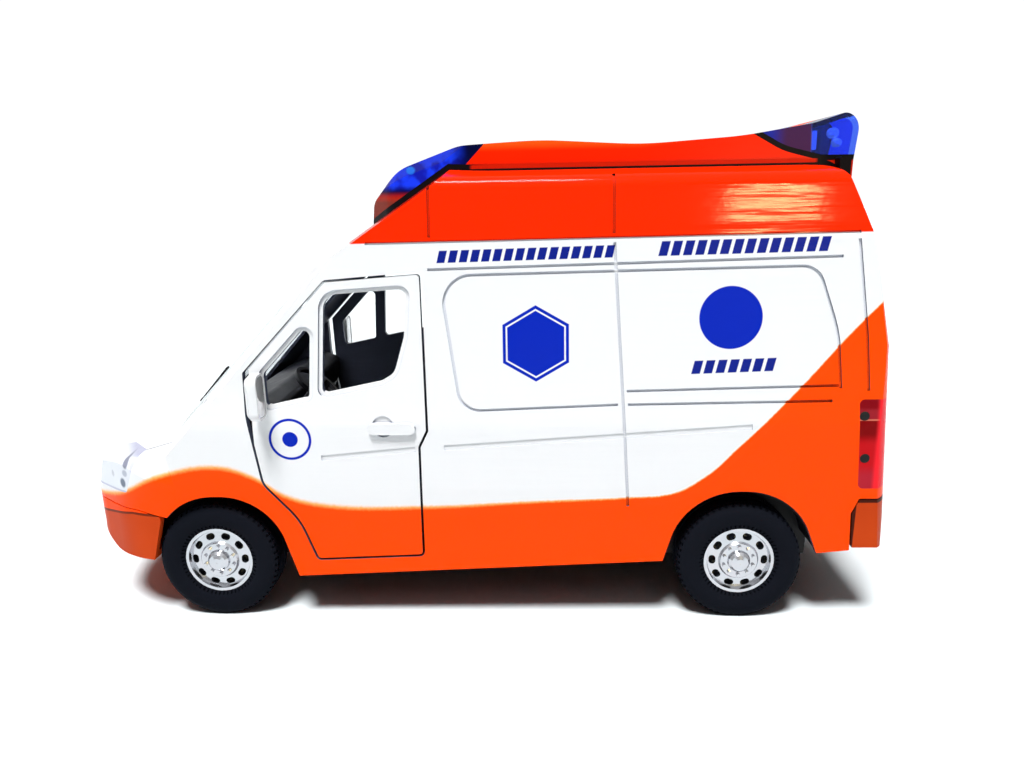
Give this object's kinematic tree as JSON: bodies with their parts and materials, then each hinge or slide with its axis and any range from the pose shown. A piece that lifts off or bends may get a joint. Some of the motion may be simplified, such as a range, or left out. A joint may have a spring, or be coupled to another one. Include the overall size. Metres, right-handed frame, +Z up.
{
  "type": "die-cast toy high-roof ambulance",
  "caption": "Die-cast toy high-roof ambulance van with opening front and rear doors, rolling wheels on steel axles, blue beacons and a white and orange livery.",
  "frame": {"origin": "on the floor under the middle of the overall length and width, at the bottom of the tyres", "axes": "+X towards the tail, -X towards the nose, -Y towards the vehicle's own left side, +Z up"},
  "size_m": [0.1407, 0.0626, 0.0833],
  "materials": {
    "body_paint": "gloss enamel over die-cast zinc, white with orange sprayed on the roof and the lower sides",
    "base_plastic": "moulded black plastic",
    "bumper_plastic": "satin orange-brown moulded plastic",
    "cap_plastic": "gloss orange-red moulded plastic",
    "seal_black": "black line under the roof cap",
    "beacon_blue": "clear blue moulded plastic",
    "lamp_clear": "clear moulded plastic over silver",
    "lamp_red": "clear red moulded plastic",
    "glazing": "thin clear moulded plastic",
    "interior_grey": "dark grey moulded plastic",
    "hub_chrome": "vacuum-plated plastic",
    "tyre_rubber": "soft black rubber",
    "axle_steel": "plain steel rod"
  },
  "bodies": {
    "body": {"body_shell": "body_paint", "base_plate": "base_plastic", "front_bumper": "bumper_plastic", "rear_bumper": "bumper_plastic", "grille": "base_plastic", "headlamp_left": "lamp_clear", "headlamp_right": "lamp_clear", "tail_lamp_left": "lamp_red", "tail_lamp_right": "lamp_red", "windscreen": "glazing", "wipers": "base_plastic", "interior_tub": "interior_grey", "seat_driver": "interior_grey", "seat_bench": "interior_grey", "dashboard": "interior_grey", "steering_wheel": "interior_grey", "motor_housing": "base_plastic", "roof_cap": "cap_plastic", "roof_cap_seal": "seal_black", "beacon_front_left": "beacon_blue", "beacon_front_right": "beacon_blue", "beacon_rear_left": "beacon_blue", "beacon_rear_right": "beacon_blue"},
    "front_wheels": {"axle_front": "axle_steel", "hub_front_left": "hub_chrome", "hub_front_right": "hub_chrome", "tyre_front_left": "tyre_rubber", "tyre_front_right": "tyre_rubber"},
    "rear_wheels": {"axle_rear": "axle_steel", "hub_rear_left": "hub_chrome", "hub_rear_right": "hub_chrome", "tyre_rear_left": "tyre_rubber", "tyre_rear_right": "tyre_rubber"},
    "front_door_left": {"door_front_left": "body_paint", "mirror_left": "body_paint"},
    "front_door_right": {"door_front_right": "body_paint", "mirror_right": "body_paint"},
    "rear_door_left": {"door_rear_left": "body_paint"},
    "rear_door_right": {"door_rear_right": "body_paint"}
  },
  "joints": [
    {"name": "front_wheels_roll", "type": "hinge", "parent": "body", "child": "front_wheels", "pos_m": [-0.043, 0, 0.01045], "axis": [0, 1, 0], "continuous": true},
    {"name": "rear_wheels_roll", "type": "hinge", "parent": "body", "child": "rear_wheels", "pos_m": [0.047, 0, 0.01045], "axis": [0, 1, 0], "continuous": true},
    {"name": "front_door_left_open", "type": "hinge", "parent": "body", "child": "front_door_left", "pos_m": [-0.0341, -0.027, 0.04], "axis": [0, 0, -1], "range_deg": [0, 65]},
    {"name": "front_door_right_open", "type": "hinge", "parent": "body", "child": "front_door_right", "pos_m": [-0.0341, 0.027, 0.04], "axis": [0, 0, 1], "range_deg": [0, 65]},
    {"name": "rear_door_left_open", "type": "hinge", "parent": "body", "child": "rear_door_left", "pos_m": [0.0701, -0.0225, 0.03], "axis": [0, 0, -1], "range_deg": [0, 100]},
    {"name": "rear_door_right_open", "type": "hinge", "parent": "body", "child": "rear_door_right", "pos_m": [0.0701, 0.0225, 0.03], "axis": [0, 0, 1], "range_deg": [0, 100]}
  ]
}
